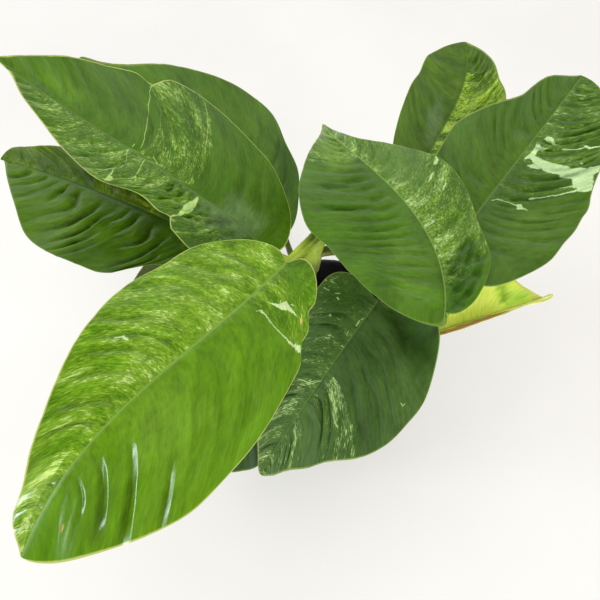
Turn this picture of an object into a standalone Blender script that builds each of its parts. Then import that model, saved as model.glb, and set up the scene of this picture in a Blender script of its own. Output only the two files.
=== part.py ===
"""Potted variegated rhaphidophora puberula.

A young climbing aroid with eleven leaf blades on one leaning stem, in a round black nursery pot.
Units are metres and +Z is up. The origin is the centre of the pot's flat underside.
Leaf sizes below are in millimetres, measured along the blade, and are scaled to metres when used.
"""
import math

import bmesh
import bpy
import numpy as np

MM = 0.001

# Pot: a tapered plastic pot with a thick rolled rim and a shallow foot.
POT_RIM_RADIUS = 0.075
POT_RIM_DEPTH = 0.012
POT_RIM_STEP = 0.0025
POT_HEIGHT = 0.138
POT_BASE_RADIUS = 0.054
POT_WALL = 0.0018
POT_FLOOR = 0.0025
POT_LIP = 0.0012
POT_FOOT_EDGE = 0.0015
POT_FOOT_HEIGHT = 0.003
POT_INNER_LIP = 0.002
POT_STEPS = 48
DRAIN_COUNT = 6
DRAIN_RADIUS = 0.005
DRAIN_CIRCLE = 0.036
DRAIN_SIDES = 12

# Soil: fills the pot to a little below the rim, slightly domed round the stem.
SOIL_TOP = 0.104
SOIL_DOME = 0.004
SOIL_RINGS = ((0.0, 1.0), (0.022, 0.8), (0.045, 0.35))
SOIL_EDGE = 0.003
SOIL_EDGE_DROP = 0.002
SEAT_GAP = 0.0003

# Stem: leans to the left at soil level and back toward the middle at the top.
STEM_ROUTE = ((-28, -4, 66), (-26, -3, 108), (-22, 1, 175), (-17, 3, 235), (-12, 8, 275), (-7, 12, 304))
STEM_RADII = (5.5, 5.5, 5.5, 5.2, 4.8, 3.2)
STEM_SIDES = 10
STEM_STEPS = 22
CURVE_SAMPLES = 24

# Leaf stalks: thick and sheathing on the stem, slim where they meet the blade.
STALK_FOOT_RADIUS = 3.6
STALK_NECK_RADIUS = 2.0
STALK_SIDES = 8
STALK_STEPS = 12

# Blades: a flat sheet with a raised midrib on the underside.
BLADE_THICKNESS = 0.8
RIB_DEPTH = 1.0
RIB_SHARE = 0.05
ROWS = 19
COLUMNS = (-1.0, -0.8, -0.55, -0.3, -RIB_SHARE, 0.0, RIB_SHARE, 0.3, 0.55, 0.8, 1.0)
LOBE_PEAK = 0.035
SWEEP_POWER = 0.6
SWEEP_PEAK = 0.346

GREEN_FRESH = (0.16, 0.32, 0.03)
GREEN_MID = (0.07, 0.19, 0.025)
GREEN_DARK = (0.035, 0.11, 0.015)
GREEN_OLD = (0.42, 0.52, 0.08)
GREEN_OLIVE = (0.16, 0.19, 0.05)

# Each blade: base and tip of the midrib; half widths of the left and right side at even steps round a half
# circle, so close together at both ends; lift and sway of the midrib off the straight line at one and two
# thirds; how far the base lobes reach back; notches in the margin; fold and curl of each side in degrees, at
# base and tip; how far veins sweep forward; height of the stalk's foot on the stem, and the points that the
# stalk passes on its way.
LEAVES = {
    "leaf_01_front": dict(
        base=(-33, -28, 300), tip=(-193, -206, 248),
        left=(8, 31, 53, 65, 74, 77, 76, 66, 51, 34, 17),
        right=(10, 36, 55, 61, 67, 61, 49, 33, 21, 17, 4),
        lift=(8, 12), sway=(6, 12), lobe=(17, 10),
        notches=((-1, 0.097, 0.110, 0.012, 0.016), (-1, 0.148, 0.098, 0.028, 0.018)), fold=((6, 2), (6, 2)),
        curl=((-14, -8), (-14, -8)), sweep=(0.30, 0.24), colour=GREEN_FRESH, foot=274,
        via=((-15, 0, 293), (-24, -14, 300))),
    "leaf_02_upper_left": dict(
        base=(-48, 2, 270), tip=(-254, 138, 325),
        left=(18, 33, 39, 34, 26, 35, 30, 21, 13, 3, 1),
        right=(7, 35, 54, 62, 69, 71, 63, 50, 36, 21, 6),
        lift=(7, 0), lobe=(6, 16),
        notches=((1, 0.585, 0.162, 0.012, 0.061), (-1, 0.263, 0.167, 0.012, 0.032)), colour=GREEN_MID,
        foot=232, via=((-29, -2, 255),)),
    "leaf_03_back_left": dict(
        base=(-36, 41, 230), tip=(-222, 213, 260),
        left=(25, 45, 55, 45, 25),
        right=(9, 27, 48, 60, 74, 73, 63, 48, 20, 9, 3),
        sway=(6, 6), lobe=(8, 4), colour=GREEN_MID, foot=196, via=((-27, 15, 218),)),
    "leaf_04_left": dict(
        base=(-80, 32, 215), tip=(-280, 112, 240),
        left=(11, 23, 34, 46, 66, 69, 69, 60, 37, 17, 1),
        right=(9, 18, 27, 34, 38, 40, 38, 33, 26, 20, 13),
        sway=(6, 6), colour=GREEN_DARK, foot=168, via=((-35, 9, 188), (-58, 22, 208))),
    "leaf_05_centre": dict(
        base=(63, -77, 325), tip=(-6, 104, 290),
        left=(2, 42, 56, 61, 63, 66, 55, 34, 12, 4, 1),
        right=(5, 19, 31, 34, 41, 42, 31, 12, 8, 3, 1),
        lift=(12, 16), sway=(14, 2), lobe=(16, 6), sweep=(0.16, 0.24), colour=GREEN_MID, foot=292,
        via=((6, -6, 307), (38, -54, 311))),
    "leaf_06_top": dict(
        base=(61, 25, 280), tip=(112, 185, 300),
        left=(8, 15, 21, 26, 32, 37, 39, 37, 35, 30, 18),
        right=(9, 19, 28, 35, 39, 41, 39, 34, 25, 16, 4),
        sway=(-2, 8), notches=((1, 0.811, 0.115, 0.032, 0.075),), colour=GREEN_MID, foot=250,
        via=((-9, 19, 272), (20, 20, 274))),
    "leaf_07_right": dict(
        base=(82, -10, 295), tip=(189, 124, 320),
        left=(14, 28, 39, 47, 51, 53, 42, 29, 24, 17, 5),
        right=(24, 45, 58, 60, 64, 55, 50, 45, 37, 27, 14),
        lobe=(6, 22), notches=((1, 0.373, 0.065, 0.076, 0.048),), colour=GREEN_MID, foot=268,
        via=((0, 12, 286), (42, 0, 287))),
    "leaf_08_lower_front": dict(
        base=(31, -41, 270), tip=(-59, -121, 90),
        left=(29, 54, 69, 71, 69, 60, 42, 31, 18, 11, 5),
        right=(20, 39, 43, 45, 46, 44, 36, 27, 17, 11, 4),
        lift=(5, 5), lobe=(29, 9), colour=GREEN_DARK, foot=258,
        via=((6, 2, 267), (26, -10, 271), (42, -30, 268))),
    "leaf_09_old_right": dict(
        base=(48, -42, 190), tip=(186, 2, 200),
        left=(10, 19, 26, 31, 35, 38, 40, 35, 13, 1, 1),
        right=(8, 10, 11, 11, 11, 11, 9, 5, 5, 6, 4),
        lobe=(4, 4), fold=((35, 30), (58, 38)), curl=((-6, -6), (-6, -6)), colour=GREEN_OLD, foot=132,
        via=((-2, -20, 160), (22, -37, 181))),
    "leaf_10_low_front": dict(
        base=(-42, -52, 158), tip=(-104, -108, 55),
        left=(10, 20, 26, 31, 35, 36, 34, 29, 20, 11, 5),
        right=(18, 28, 30, 24, 12),
        fold=((2, 2), (2, 2)), curl=((-12, -12), (-12, -12)), colour=GREEN_DARK, foot=124,
        via=((-31, -21, 146), (-36, -38, 158))),
    "leaf_11_old_left": dict(
        base=(-50, 20, 185), tip=(-175, 0, 175),
        left=(14, 28, 32, 28, 14),
        right=(6, 13, 24, 36, 45, 52, 56, 61, 50, 35, 18),
        fold=((2, -4), (2, -4)), curl=((-20, -20), (-20, -20)), colour=GREEN_OLIVE, foot=148,
        via=((-33, 9, 167),)),
}

PLAIN_LEAF = dict(lift=(0, 0), sway=(0, 0), lobe=(8, 8), sweep=(0.24, 0.24), notches=(),
                  fold=((8, 4), (8, 4)), curl=((-10, -10), (-10, -10)))
WAVE_HEIGHT = 1.5
WAVE_COUNT = 3


def make_material(name, colour, roughness, metallic=0.0):
    material = bpy.data.materials.new(name)
    material.use_nodes = True
    shader = material.node_tree.nodes["Principled BSDF"]
    shader.inputs["Base Color"].default_value = (*colour, 1.0)
    shader.inputs["Roughness"].default_value = roughness
    shader.inputs["Metallic"].default_value = metallic
    material.diffuse_color = (*colour, 1.0)
    return material


def add_object(name, mesh, material):
    thing = bpy.data.objects.new(name, mesh)
    bpy.context.scene.collection.objects.link(thing)
    mesh.materials.clear()
    mesh.materials.append(material)
    mesh.shade_smooth()
    mesh.set_sharp_from_angle(angle=math.radians(40))
    return thing


def turned(name, profile, material):
    """Turn a profile of (radius, height) points, from the axis inside, over the rim and down the outside."""
    shape = bmesh.new()
    corners = [shape.verts.new((radius, 0.0, height)) for radius, height in profile]
    edges = [shape.edges.new(pair) for pair in zip(corners, corners[1:])]
    bmesh.ops.spin(shape, geom=corners + edges, cent=(0, 0, 0), axis=(0, 0, 1), angle=2 * math.pi,
                   steps=POT_STEPS)
    bmesh.ops.remove_doubles(shape, verts=shape.verts, dist=0.00001)
    bmesh.ops.recalc_face_normals(shape, faces=shape.faces)
    mesh = bpy.data.meshes.new(name)
    shape.to_mesh(mesh)
    shape.free()
    return add_object(name, mesh, material)


def cut(thing, cutter, name):
    cutter.hide_render = True
    cutter.display_type = "WIRE"
    boolean = thing.modifiers.new(name, "BOOLEAN")
    boolean.operation = "DIFFERENCE"
    boolean.solver = "EXACT"
    boolean.object = cutter


def smooth_route(points, steps):
    """Evenly stepped points on a smooth curve through the given points."""
    knots = np.array(points, float)
    before = 2 * knots[0] - knots[1]
    after = 2 * knots[-1] - knots[-2]
    padded = np.vstack([before, knots, after])
    fine = []
    for start in range(len(knots) - 1):
        a, b, c, d = padded[start:start + 4]
        for share in np.linspace(0, 1, CURVE_SAMPLES, endpoint=False):
            fine.append(0.5 * (2 * b + (c - a) * share + (2 * a - 5 * b + 4 * c - d) * share ** 2
                               + (3 * b - a - 3 * c + d) * share ** 3))
    fine.append(knots[-1])
    fine = np.array(fine)
    travelled = np.concatenate([[0], np.cumsum(np.linalg.norm(np.diff(fine, axis=0), axis=1))])
    stops = np.linspace(0, travelled[-1], steps)
    return np.stack([np.interp(stops, travelled, fine[:, axis]) for axis in range(3)], axis=1)


def tube_mesh(name, route, radii, sides):
    """A closed tube along route points in metres, with a radius at each point."""
    curve = bpy.data.curves.new(name + "_curve", "CURVE")
    curve.dimensions = "3D"
    curve.bevel_depth = 1.0
    curve.bevel_resolution = sides // 2 - 2
    curve.use_fill_caps = True
    spline = curve.splines.new("POLY")
    spline.points.add(len(route) - 1)
    for point, place, radius in zip(spline.points, route, radii):
        point.co = (*place, 1.0)
        point.radius = radius
    holder = bpy.data.objects.new(name + "_curve", curve)
    bpy.context.scene.collection.objects.link(holder)
    graph = bpy.context.evaluated_depsgraph_get()
    mesh = bpy.data.meshes.new_from_object(holder.evaluated_get(graph))
    mesh.name = name
    bpy.data.objects.remove(holder)
    shape = bmesh.new()
    shape.from_mesh(mesh)
    bmesh.ops.remove_doubles(shape, verts=shape.verts, dist=0.00001)
    bmesh.ops.recalc_face_normals(shape, faces=shape.faces)
    shape.to_mesh(mesh)
    shape.free()
    return mesh


def stem_tube(name, extra_radius, material):
    route = smooth_route(STEM_ROUTE, STEM_STEPS) * MM
    shares = np.linspace(0, 1, len(STEM_RADII))
    radii = np.interp(np.linspace(0, 1, STEM_STEPS), shares, STEM_RADII) * MM + extra_radius
    if extra_radius:
        route[0] -= (0, 0, extra_radius)
        route[-1] += (0, 0, extra_radius)
    return add_object(name, tube_mesh(name, route, radii, STEM_SIDES), material)


def stem_centre(height):
    route = smooth_route(STEM_ROUTE, 200)
    return np.array([np.interp(height, route[:, 2], route[:, axis]) for axis in range(3)])


def unit(vector):
    return vector / np.linalg.norm(vector)


def smooth_ends(values, share):
    """A smooth curve through evenly spaced values that starts and ends at zero, read at a share from 0 to 1."""
    points = [0.0, *values, 0.0]
    padded = [-points[1], *points, -points[-2]]
    place = min(max(share, 0.0), 1.0) * (len(points) - 1)
    start = min(int(place), len(points) - 2)
    f = place - start
    a, b, c, d = padded[start:start + 4]
    return 0.5 * (2 * b + (c - a) * f + (2 * a - 5 * b + 4 * c - d) * f ** 2 + (3 * b - a - 3 * c + d) * f ** 3)


class Blade:
    """The middle surface of one leaf blade."""

    def __init__(self, sizes):
        self.sizes = {**PLAIN_LEAF, **sizes}
        self.base = np.array(self.sizes["base"], float)
        self.tip = np.array(self.sizes["tip"], float)
        self.chord = self.tip - self.base
        self.side = unit(np.cross(self.chord, (0, 0, 1)))
        self.up = np.cross(self.side, unit(self.chord))
        stops = np.array([self.midrib(t) for t in np.linspace(0, 1, 60)])
        self.length = float(np.linalg.norm(np.diff(stops, axis=0), axis=1).sum())

    def midrib(self, t):
        """The midrib bends off its straight line with one bump near each third; it runs on straight past the base."""
        first = 13.5 * t * (1 - t) * (2 / 3 - t) if t > 0 else 9.0 * t
        second = 13.5 * t * (1 - t) * (t - 1 / 3) if t > 0 else -4.5 * t
        lift = self.sizes["lift"][0] * first + self.sizes["lift"][1] * second
        sway = self.sizes["sway"][0] * first + self.sizes["sway"][1] * second
        return self.base + self.chord * t + self.up * lift + self.side * sway

    def axes(self, t):
        step = 0.0001
        tangent = unit(self.midrib(t + step) - self.midrib(t - step))
        side = unit(self.side - tangent * np.dot(self.side, tangent))
        return tangent, side, np.cross(side, tangent)

    def margin(self, vein, right):
        """Where a vein ends at the margin: its share along the midrib, and its half width."""
        sizes = self.sizes
        forward = vein + sizes["sweep"][right] * vein ** SWEEP_POWER * (1 - vein) / SWEEP_PEAK
        reach = forward / LOBE_PEAK
        back = sizes["lobe"][right] / self.length * reach * math.exp(1 - reach)
        stations = sizes["right"] if right else sizes["left"]
        width = smooth_ends(stations, math.acos(1 - 2 * min(forward, 1.0)) / math.pi)
        for side, place, depth, before, after in sizes["notches"]:
            if (side > 0) == right:
                spread = before if forward < place else after
                width *= 1 - depth * math.exp(-((forward - place) / spread) ** 2)
        return forward - back, width

    def point(self, vein, across):
        """A surface point on a vein, at a share across from -1 at the left margin to 1 at the right one."""
        sizes = self.sizes
        right = across > 0
        share = abs(across)
        along_margin, width = self.margin(vein, right)
        along = vein + (along_margin - vein) * share ** 2
        lateral = width * share
        fold_base, fold_tip = sizes["fold"][right]
        curl_base, curl_tip = sizes["curl"][right]
        fold = math.radians(fold_base + (fold_tip - fold_base) * vein)
        widest = max(sizes["right"] if right else sizes["left"])
        bend = math.radians(curl_base + (curl_tip - curl_base) * vein) / widest
        out = (math.sin(fold + bend * lateral) - math.sin(fold)) / bend
        rise = (math.cos(fold) - math.cos(fold + bend * lateral)) / bend
        turn = 2 * math.pi * (WAVE_COUNT * vein + 0.25 * right)
        rise += WAVE_HEIGHT * share ** 3 * math.sin(turn) * math.sqrt(max(math.sin(math.pi * vein), 0.0))
        tangent, side, normal = self.axes(along)
        hand = 1 if right else -1
        place = self.midrib(along) + side * out * hand + normal * rise
        tilt = fold + bend * lateral
        facing = normal * math.cos(tilt) - side * math.sin(tilt) * hand
        return place, facing


def leaf_mesh(name, blade):
    """A closed sheet: the upper and lower faces carry the same triangles, joined round the margin."""
    half = BLADE_THICKNESS / 2
    tops, bottoms, points, faces = [], [], [], []

    def add_pair(vein, across):
        place, facing = blade.point(vein, across)
        rib = RIB_DEPTH if across == 0.0 else 0.0
        points.append((place + facing * half) * MM)
        points.append((place - facing * (half + rib)) * MM)
        return len(points) - 2, len(points) - 1

    veins = [0.5 - 0.5 * math.cos(math.pi * row / ROWS) for row in range(ROWS + 1)]
    for vein in veins:
        if vein in (0.0, 1.0):
            pair = add_pair(vein, 0.0)
            pairs = [pair] * len(COLUMNS)
        else:
            pairs = [add_pair(vein, across) for across in COLUMNS]
        tops.append([pair[0] for pair in pairs])
        bottoms.append([pair[1] for pair in pairs])

    def add_face(*corners):
        if len(set(corners)) == 3:
            faces.append(corners)

    for row in range(ROWS):
        for column in range(len(COLUMNS) - 1):
            for layer, flip in ((tops, False), (bottoms, True)):
                a, b = layer[row][column], layer[row][column + 1]
                c, d = layer[row + 1][column + 1], layer[row + 1][column]
                for corners in ((a, b, c), (a, c, d)):
                    add_face(*(corners[::-1] if flip else corners))
        for column, flip in ((0, True), (-1, False)):
            a, b = tops[row][column], tops[row + 1][column]
            c, d = bottoms[row + 1][column], bottoms[row][column]
            for corners in ((a, d, c), (a, c, b)):
                add_face(*(corners[::-1] if flip else corners))
    mesh = bpy.data.meshes.new(name)
    mesh.from_pydata([tuple(point) for point in points], [], faces)
    return mesh


def stalk_route(blade):
    """From the stem's middle, past the points on the way, to just under the midrib at the blade's base."""
    sizes = blade.sizes
    tangent, side, normal = blade.axes(0.0)
    depth = BLADE_THICKNESS / 2 + RIB_DEPTH + STALK_NECK_RADIUS + SEAT_GAP / MM
    neck = blade.midrib(0.0) - normal * depth
    under = blade.midrib(0.02) - normal * depth
    points = [stem_centre(sizes["foot"]), *sizes["via"], neck, under]
    return smooth_route(points, STALK_STEPS) * MM


def build_pot():
    wall_slope = (POT_RIM_RADIUS - POT_RIM_STEP - POT_BASE_RADIUS) / POT_HEIGHT
    outer_top = POT_HEIGHT - POT_RIM_DEPTH

    def outer(height):
        return POT_BASE_RADIUS + wall_slope * height

    profile = [
        (0.0, POT_FLOOR),
        (outer(POT_FLOOR) - POT_WALL, POT_FLOOR),
        (outer(POT_HEIGHT - POT_INNER_LIP) - POT_WALL, POT_HEIGHT - POT_INNER_LIP),
        (outer(POT_HEIGHT) - POT_WALL + POT_LIP, POT_HEIGHT),
        (POT_RIM_RADIUS - POT_LIP, POT_HEIGHT),
        (POT_RIM_RADIUS, POT_HEIGHT - POT_LIP),
        (POT_RIM_RADIUS - POT_LIP / 2, outer_top + POT_LIP / 2),
        (POT_RIM_RADIUS - POT_LIP, outer_top),
        (outer(outer_top), outer_top),
        (outer(POT_FOOT_HEIGHT), POT_FOOT_HEIGHT),
        (outer(0.0) - POT_FOOT_EDGE, 0.0),
        (0.0, 0.0),
    ]
    pot = turned("pot", profile, make_material("pot_black_plastic", (0.012, 0.013, 0.014), 0.42))
    drain_material = make_material("cutter", (0.5, 0.5, 0.5), 0.5)
    for index in range(DRAIN_COUNT):
        angle = 2 * math.pi * (index + 0.5) / DRAIN_COUNT
        mesh = bpy.data.meshes.new(f"drain_{index + 1}")
        shape = bmesh.new()
        bmesh.ops.create_cone(shape, cap_ends=True, segments=DRAIN_SIDES, radius1=DRAIN_RADIUS,
                              radius2=DRAIN_RADIUS, depth=4 * POT_FLOOR)
        shape.to_mesh(mesh)
        shape.free()
        drain = add_object(f"drain_{index + 1}", mesh, drain_material)
        drain.location = (DRAIN_CIRCLE * math.cos(angle), DRAIN_CIRCLE * math.sin(angle), POT_FLOOR / 2)
        cut(pot, drain, f"drain_{index + 1}")

    def inner(height):
        return outer(height) - POT_WALL - SEAT_GAP

    bottom = POT_FLOOR + SEAT_GAP
    soil_profile = [(radius, SOIL_TOP + share * SOIL_DOME) for radius, share in SOIL_RINGS]
    soil_profile += [
        (inner(SOIL_TOP) - SOIL_EDGE, SOIL_TOP),
        (inner(SOIL_TOP - SOIL_EDGE_DROP), SOIL_TOP - SOIL_EDGE_DROP),
        (inner(bottom), bottom),
        (0.0, bottom),
    ]
    return pot, turned("soil", soil_profile, make_material("soil", (0.035, 0.024, 0.016), 0.95))


def build():
    for thing in list(bpy.data.objects):
        bpy.data.objects.remove(thing)
    pot, soil = build_pot()
    green_stem = make_material("stem_green", (0.13, 0.2, 0.03), 0.5)
    stem = stem_tube("stem", 0.0, green_stem)
    stem_room = stem_tube("stem_room", SEAT_GAP, green_stem)
    cut(soil, stem_room, "stem_hole")
    for name, sizes in LEAVES.items():
        blade = Blade(sizes)
        colour = sizes["colour"]
        add_object(name, leaf_mesh(name, blade), make_material(name + "_green", colour, 0.38))
        stalk_name = name.replace("leaf", "stalk")
        route = stalk_route(blade)
        radii = np.linspace(STALK_FOOT_RADIUS, STALK_NECK_RADIUS, STALK_STEPS) * MM
        stalk_material = make_material(stalk_name + "_green", (0.2, 0.28, 0.05), 0.45)
        stalk = add_object(stalk_name, tube_mesh(stalk_name, route, radii, STALK_SIDES), stalk_material)
        cut(stalk, stem_room, "stem_seat")


build()
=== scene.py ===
import math

import bmesh
import bpy
import numpy as np
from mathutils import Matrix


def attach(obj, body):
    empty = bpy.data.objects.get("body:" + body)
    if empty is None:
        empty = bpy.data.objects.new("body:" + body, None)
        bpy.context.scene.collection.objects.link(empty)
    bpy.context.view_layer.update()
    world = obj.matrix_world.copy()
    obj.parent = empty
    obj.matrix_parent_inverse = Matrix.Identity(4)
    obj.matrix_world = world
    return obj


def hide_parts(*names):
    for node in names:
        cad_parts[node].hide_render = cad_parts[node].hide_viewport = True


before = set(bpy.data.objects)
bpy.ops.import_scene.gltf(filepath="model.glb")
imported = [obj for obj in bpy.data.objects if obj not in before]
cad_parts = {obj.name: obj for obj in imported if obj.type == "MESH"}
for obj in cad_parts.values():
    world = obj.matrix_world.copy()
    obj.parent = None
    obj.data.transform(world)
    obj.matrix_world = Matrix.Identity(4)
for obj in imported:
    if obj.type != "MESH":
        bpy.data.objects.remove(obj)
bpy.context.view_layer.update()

MM = 0.001

# Sizes shared with the CAD model, in millimetres unless said
STEM_ROUTE = ((-28, -4, 66), (-26, -3, 108), (-22, 1, 175), (-17, 3, 235), (-12, 8, 275), (-7, 12, 304))
STEM_RADII = (5.5, 5.5, 5.5, 5.2, 4.8, 3.2)
STALK_FOOT_RADIUS = 3.6
STALK_NECK_RADIUS = 2.0
LOBE_PEAK = 0.035
SWEEP_POWER = 0.6
SWEEP_PEAK = 0.346
WAVE_HEIGHT = 1.5
WAVE_COUNT = 3
PLAIN_LEAF = dict(lift=(0, 0), sway=(0, 0), lobe=(8, 8), sweep=(0.24, 0.24), notches=(),
                  fold=((8, 4), (8, 4)), curl=((-10, -10), (-10, -10)))
LEAVES = {
    "leaf_01_front": dict(
        base=(-33, -28, 300), tip=(-193, -206, 248),
        left=(8, 31, 53, 65, 74, 77, 76, 66, 51, 34, 17),
        right=(10, 36, 55, 61, 67, 61, 49, 33, 21, 17, 4),
        lift=(8, 12), sway=(6, 12), lobe=(17, 10),
        notches=((-1, 0.097, 0.110, 0.012, 0.016), (-1, 0.148, 0.098, 0.028, 0.018)), fold=((6, 2), (6, 2)),
        curl=((-14, -8), (-14, -8)), sweep=(0.30, 0.24), foot=274, via=((-15, 0, 293), (-24, -14, 300))),
    "leaf_02_upper_left": dict(
        base=(-48, 2, 270), tip=(-254, 138, 325),
        left=(18, 33, 39, 34, 26, 35, 30, 21, 13, 3, 1),
        right=(7, 35, 54, 62, 69, 71, 63, 50, 36, 21, 6),
        lift=(7, 0), lobe=(6, 16),
        notches=((1, 0.585, 0.162, 0.012, 0.061), (-1, 0.263, 0.167, 0.012, 0.032)), foot=232,
        via=((-29, -2, 255),)),
    "leaf_03_back_left": dict(
        base=(-36, 41, 230), tip=(-222, 213, 260),
        left=(25, 45, 55, 45, 25),
        right=(9, 27, 48, 60, 74, 73, 63, 48, 20, 9, 3),
        sway=(6, 6), lobe=(8, 4), foot=196, via=((-27, 15, 218),)),
    "leaf_04_left": dict(
        base=(-80, 32, 215), tip=(-280, 112, 240),
        left=(11, 23, 34, 46, 66, 69, 69, 60, 37, 17, 1),
        right=(9, 18, 27, 34, 38, 40, 38, 33, 26, 20, 13),
        sway=(6, 6), foot=168, via=((-35, 9, 188), (-58, 22, 208))),
    "leaf_05_centre": dict(
        base=(63, -77, 325), tip=(-6, 104, 290),
        left=(2, 42, 56, 61, 63, 66, 55, 34, 12, 4, 1),
        right=(5, 19, 31, 34, 41, 42, 31, 12, 8, 3, 1),
        lift=(12, 16), sway=(14, 2), lobe=(16, 6), sweep=(0.16, 0.24), foot=292,
        via=((6, -6, 307), (38, -54, 311))),
    "leaf_06_top": dict(
        base=(61, 25, 280), tip=(112, 185, 300),
        left=(8, 15, 21, 26, 32, 37, 39, 37, 35, 30, 18),
        right=(9, 19, 28, 35, 39, 41, 39, 34, 25, 16, 4),
        sway=(-2, 8), notches=((1, 0.811, 0.115, 0.032, 0.075),),
        foot=250, via=((-9, 19, 272), (20, 20, 274))),
    "leaf_07_right": dict(
        base=(82, -10, 295), tip=(189, 124, 320),
        left=(14, 28, 39, 47, 51, 53, 42, 29, 24, 17, 5),
        right=(24, 45, 58, 60, 64, 55, 50, 45, 37, 27, 14),
        lobe=(6, 22), notches=((1, 0.373, 0.065, 0.076, 0.048),), foot=268, via=((0, 12, 286), (42, 0, 287))),
    "leaf_08_lower_front": dict(
        base=(31, -41, 270), tip=(-59, -121, 90),
        left=(29, 54, 69, 71, 69, 60, 42, 31, 18, 11, 5),
        right=(20, 39, 43, 45, 46, 44, 36, 27, 17, 11, 4),
        lift=(5, 5), lobe=(29, 9), foot=258, via=((6, 2, 267), (26, -10, 271), (42, -30, 268))),
    "leaf_09_old_right": dict(
        base=(48, -42, 190), tip=(186, 2, 200),
        left=(10, 19, 26, 31, 35, 38, 40, 35, 13, 1, 1),
        right=(8, 10, 11, 11, 11, 11, 9, 5, 5, 6, 4),
        lobe=(4, 4), fold=((35, 30), (58, 38)), curl=((-6, -6), (-6, -6)), foot=132,
        via=((-2, -20, 160), (22, -37, 181))),
    "leaf_10_low_front": dict(
        base=(-42, -52, 158), tip=(-104, -108, 55),
        left=(10, 20, 26, 31, 35, 36, 34, 29, 20, 11, 5),
        right=(18, 28, 30, 24, 12),
        fold=((2, 2), (2, 2)), curl=((-12, -12), (-12, -12)),
        foot=124, via=((-31, -21, 146), (-36, -38, 158))),
    "leaf_11_old_left": dict(
        base=(-50, 20, 185), tip=(-175, 0, 175),
        left=(14, 28, 32, 28, 14),
        right=(6, 13, 24, 36, 45, 52, 56, 61, 50, 35, 18),
        fold=((2, -4), (2, -4)), curl=((-20, -20), (-20, -20)), foot=148, via=((-33, 9, 167),)),
}

# Sizes of the finer forms, in millimetres. A pair holds the values at the blade's base and at its tip.
BLADE_THICKNESS = 0.6
MARGIN_THINNING = 0.45
RIB_HEIGHT = (1.5, 0.3)
RIB_HALF_WIDTH = (1.9, 0.7)
GROOVE_DEPTH = (0.7, 0.25)
GROOVE_HALF_WIDTH = (1.5, 0.8)
VALLEY_HALF_WIDTH = 1.7
FINE_VEIN_SPACING = 3.1
ROWS = 240
HALF_COLUMNS = 28
SMALL_LEAF = 40

# Stalks, stem and soil, in millimetres. Angles are in radians from the upper side or the stalk's heading.
SHEATH_DEPTH = 38.0
SHEATH_RISE = 7
SHEATH_HALF_TURN = 2.35
STEM_NODE_DROP = 40.0
STEM_STEPS = 160
SOIL_TOP = 104.0
SOIL_DOME = 4.0
SOIL_RADIUS = 65.4
SOIL_FLOOR = 3.0
SOIL_FLOOR_RADIUS = 52.4
SOIL_RINGS = 40
SOIL_SPOKES = 96
BARK_CHIPS = 340
BARK_CLEAR_OF_STEM = 10
BARK_HIGHEST = 8


def srgb(red, green, blue):
    """A linear colour from 0 to 255 display values."""
    def linear(level):
        level /= 255
        return level / 12.92 if level <= 0.04045 else ((level + 0.055) / 1.055) ** 2.4
    return linear(red), linear(green), linear(blue)


def unit(vector):
    return vector / np.linalg.norm(vector, axis=-1, keepdims=True)


def smoothstep(value, low, high):
    share = np.clip((value - low) / (high - low), 0, 1)
    return share * share * (3 - 2 * share)


def between(pair, share):
    return pair[0] * (1 - share) + pair[1] * share


def bump_at(value, middle, spread):
    """A bell curve that is 1 at its middle."""
    return np.exp(-((value - middle) / spread) ** 2)


def spline(a, b, c, d, f):
    """A smooth curve from b to c, past a before and d after."""
    bend = (2 * a - 5 * b + 4 * c - d) * f ** 2 + (3 * b - a - 3 * c + d) * f ** 3
    return 0.5 * (2 * b + (c - a) * f + bend)


def curve_through(values, share):
    """A smooth curve through evenly spaced values, zero at both ends, read at shares from 0 to 1."""
    points = np.array([0.0, *values, 0.0])
    padded = np.array([-points[1], *points, -points[-2]])
    place = np.clip(share, 0, 1) * (len(points) - 1)
    start = np.minimum(place.astype(int), len(points) - 2)
    return spline(*(padded[start + step] for step in range(4)), place - start)


def ripple(x, y, seed, length_x, length_y, waves=10):
    """Smooth noise about 1 high from seeded sine waves."""
    rng = np.random.default_rng(seed)
    total = 0.0
    for _ in range(waves):
        stretch = rng.uniform(0.6, 1.6, 2) * rng.choice((-1, 1), 2)
        total = total + np.sin(2 * math.pi * (x * stretch[0] / length_x + y * stretch[1] / length_y)
                               + rng.uniform(0, 2 * math.pi))
    return total / math.sqrt(waves)


def add_object(name, data):
    thing = bpy.data.objects.new(name, data)
    bpy.context.scene.collection.objects.link(thing)
    return thing


def grid_faces(grid):
    """Four-sided faces between the neighbours in a grid of point numbers."""
    corners = (grid[:-1, :-1], grid[:-1, 1:], grid[1:, 1:], grid[1:, :-1])
    return np.stack(corners, axis=-1).reshape(-1, 4).tolist()


def fan(middle, row):
    """Triangles between one point and a row of others."""
    row = row.tolist()
    return [(middle, after, before) for before, after in zip(row, row[1:])]


def ringed(rows, columns):
    """Point numbers, row by row, in a grid whose rows close into rings."""
    grid = np.arange(rows * columns).reshape(rows, columns)
    return np.concatenate([grid, grid[:, :1]], axis=1)


def add_part(shape, points, faces):
    """Adds a closed part to a bmesh. Its points are in millimetres."""
    part = bpy.data.meshes.new("part")
    part.from_pydata((np.array(points) * MM).tolist(), [], faces)
    shape.from_mesh(part)
    bpy.data.meshes.remove(part)


def smooth_object(name, shape, sharp_from=180):
    """An object out of a bmesh, smooth where its faces meet at less than an angle in degrees."""
    bmesh.ops.recalc_face_normals(shape, faces=shape.faces)
    mesh = bpy.data.meshes.new(name)
    shape.to_mesh(mesh)
    shape.free()
    mesh.shade_smooth()
    mesh.set_sharp_from_angle(angle=math.radians(sharp_from))
    return add_object(name, mesh)


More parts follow.
